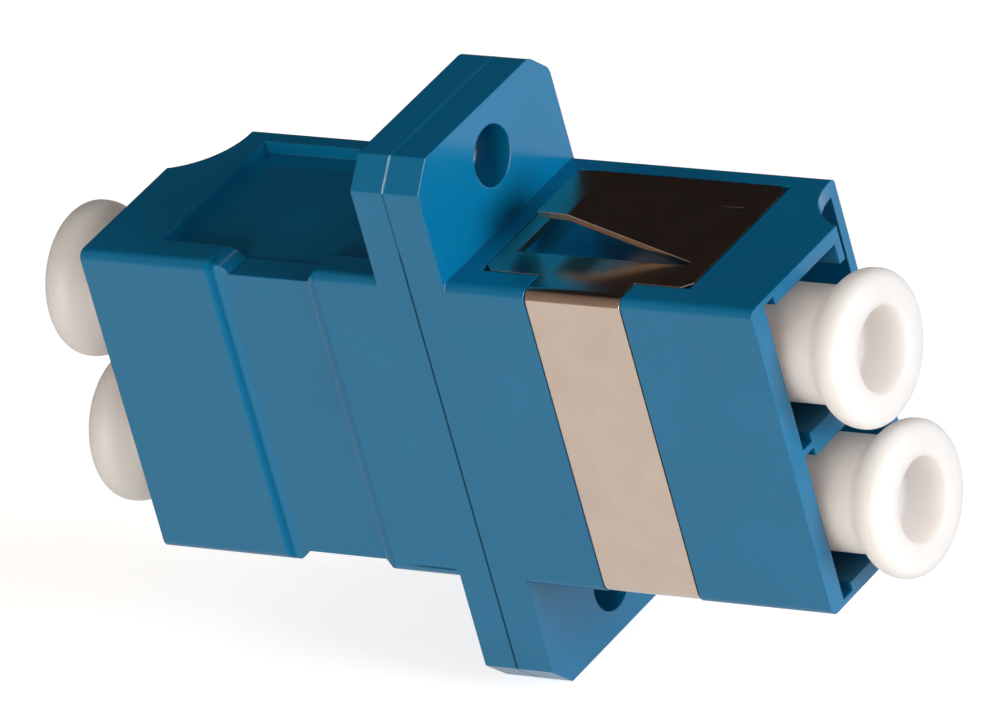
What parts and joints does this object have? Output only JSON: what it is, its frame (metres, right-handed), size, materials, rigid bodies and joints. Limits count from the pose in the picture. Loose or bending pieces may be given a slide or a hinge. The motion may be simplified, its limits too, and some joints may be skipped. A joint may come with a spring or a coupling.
{
  "type": "duplex LC fibre adapter",
  "caption": "Flanged panel adapter that joins LC fibre plugs from both sides, with a snap-in steel clip and pull-out dust caps.",
  "frame": {"origin": "centre of the flange face that meets the panel, midway between the two screw holes", "axes": "+X along the light paths towards the clip half, +Y towards the ports' latch side, +Z along the flange from one screw hole to the other"},
  "size_m": [0.035, 0.0091, 0.022],
  "materials": {
    "housing_plastic": "satin moulded, blue",
    "clip_steel": "fine-rolled stainless sheet",
    "sleeve_zirconia": "ground",
    "cap_plastic": "soft white moulding"
  },
  "bodies": {
    "adapter": {"front_housing": "housing_plastic", "rear_housing": "housing_plastic", "retaining_clip": "clip_steel", "upper_sleeve": "sleeve_zirconia", "lower_sleeve": "sleeve_zirconia"},
    "front_upper_cap": {"front_upper_cap": "cap_plastic"},
    "front_lower_cap": {"front_lower_cap": "cap_plastic"},
    "rear_upper_cap": {"rear_upper_cap": "cap_plastic"},
    "rear_lower_cap": {"rear_lower_cap": "cap_plastic"}
  },
  "joints": [
    {"name": "front_upper_cap_pull", "type": "slide", "parent": "adapter", "child": "front_upper_cap", "axis": [1, 0, 0], "range_m": [0, 0.013]},
    {"name": "front_lower_cap_pull", "type": "slide", "parent": "adapter", "child": "front_lower_cap", "axis": [1, 0, 0], "range_m": [0, 0.013]},
    {"name": "rear_upper_cap_pull", "type": "slide", "parent": "adapter", "child": "rear_upper_cap", "axis": [-1, 0, 0], "range_m": [0, 0.013]},
    {"name": "rear_lower_cap_pull", "type": "slide", "parent": "adapter", "child": "rear_lower_cap", "axis": [-1, 0, 0], "range_m": [0, 0.013]}
  ]
}
